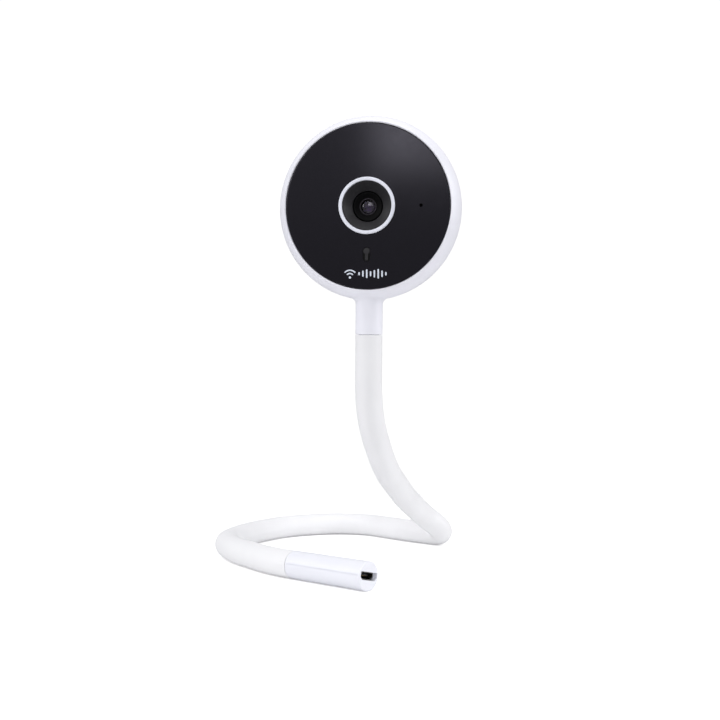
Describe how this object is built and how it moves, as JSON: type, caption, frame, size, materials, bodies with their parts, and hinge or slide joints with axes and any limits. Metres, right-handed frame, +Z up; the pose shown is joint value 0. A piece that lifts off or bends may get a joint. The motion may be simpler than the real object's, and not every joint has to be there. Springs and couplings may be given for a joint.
{
  "type": "baby monitor camera",
  "caption": "Round camera head with a domed dark face and a central lens, on a bendable gooseneck that coils into a table stand and ends in a rigid tail with a USB power socket.",
  "frame": {"origin": "on the table, under the middle of the bounding box", "axes": "+Z up, the lens looks roughly along -Y, +X to the right of someone facing the lens"},
  "size_m": [0.1064, 0.1599, 0.1756],
  "materials": {
    "shell_white": "satin moulded ABS",
    "panel_black": "polished infrared-passing acrylic",
    "trim_white": "satin pale trim",
    "bezel_dark": "fine matt black",
    "barrel_black": "matt black",
    "lens_glass": "coated optical glass",
    "window_smoke": "smoked clear plastic",
    "light_pipe_clear": "frosted light guide",
    "sleeve_white": "smooth matt silicone",
    "core_steel": "wound spring steel",
    "cable_jacket": "plain cable jacket",
    "frame_black": "plain moulded frame",
    "board_green": "solder-masked board",
    "chip_black": "moulded epoxy",
    "can_tin": "tin-plated",
    "contact_gold": "gold plated",
    "screw_steel": "zinc plated",
    "seal_rubber": "soft moulded rubber",
    "tape_black": "foam adhesive tape",
    "led_clear": "clear epoxy",
    "filter_tint": "coated filter glass",
    "cone_paper": "treated paper",
    "plug_white": "plain nylon",
    "button_white": "satin moulded",
    "usb_steel": "stamped stainless steel",
    "usb_black": "moulded insulator"
  },
  "bodies": {
    "base_loop": {"sleeve_base": "sleeve_white", "core_base": "core_steel", "cable_base": "cable_jacket"},
    "tail_arm": {"sleeve_tail": "sleeve_white", "core_tail": "core_steel", "cable_tail": "cable_jacket", "usb_cap_upper": "shell_white", "usb_cap_lower": "shell_white", "usb_board": "board_green", "usb_socket_shell": "usb_steel", "usb_tongue": "usb_black", "usb_contacts": "contact_gold", "tail_clamp": "screw_steel"},
    "lower_neck": {"sleeve_lower": "sleeve_white", "core_lower": "core_steel", "cable_lower": "cable_jacket"},
    "upper_neck": {"sleeve_upper": "sleeve_white", "core_upper": "core_steel", "cable_upper": "cable_jacket"},
    "head": {"sleeve_top": "sleeve_white", "core_top": "core_steel", "cable_top": "cable_jacket", "main_housing": "shell_white", "rear_cover": "shell_white", "face_panel": "panel_black", "lens_trim_ring": "trim_white", "lens_bezel": "bezel_dark", "tape_ring": "tape_black", "lens_barrel": "barrel_black", "lens_retaining_ring": "barrel_black", "lens_glass": "lens_glass", "sensor_window": "window_smoke", "light_pipe": "light_pipe_clear", "light_sensor": "chip_black", "microphone": "can_tin", "microphone_boot": "seal_rubber", "inner_frame": "frame_black", "led_board": "board_green", "ir_leds": "led_clear", "lens_holder": "frame_black", "sensor_board": "board_green", "image_sensor": "chip_black", "board_connector": "plug_white", "main_board": "board_green", "processor_shield": "can_tin", "processor": "chip_black", "reset_switch": "can_tin", "speaker_frame": "can_tin", "speaker_cone": "cone_paper", "wifi_antenna": "contact_gold", "neck_retainer": "screw_steel", "power_plug": "plug_white", "power_header": "plug_white", "cable_end": "seal_rubber", "housing_screws": "screw_steel", "frame_screws": "screw_steel", "sensor_screws": "screw_steel"},
    "reset_button": {"reset_button": "button_white"},
    "filter_carriage": {"filter_carriage": "frame_black", "filter_glass": "filter_tint"}
  },
  "joints": [
    {"name": "tail_swing", "type": "hinge", "parent": "base_loop", "child": "tail_arm", "pos_m": [-0.04574, 0.02298, 0.00525], "axis": [0, 0, 1], "range_deg": [-30, 30]},
    {"name": "neck_lift", "type": "hinge", "parent": "base_loop", "child": "lower_neck", "pos_m": [0.03418, 0.01163, 0.02072], "axis": [0.9167, -0.3996, 0], "range_deg": [-25, 20]},
    {"name": "neck_sway", "type": "hinge", "parent": "lower_neck", "child": "upper_neck", "pos_m": [0.01709, -0.03447, 0.04954], "axis": [0, 0.7592, 0.6508], "range_deg": [-25, 25]},
    {"name": "head_tilt", "type": "hinge", "parent": "upper_neck", "child": "head", "pos_m": [0.01356, -0.0462, 0.08305], "axis": [0.9898, -0.1409, -0.0209], "range_deg": [-25, 25]},
    {"name": "reset_press", "type": "slide", "parent": "head", "child": "reset_button", "axis": [-0.1422, -0.9865, -0.0811], "range_m": [0, 0.0006], "stiffness_N_per_m": 300},
    {"name": "ir_cut_slide", "type": "slide", "parent": "head", "child": "filter_carriage", "axis": [0.9898, -0.1409, -0.0209], "range_m": [0, 0.0052]}
  ]
}
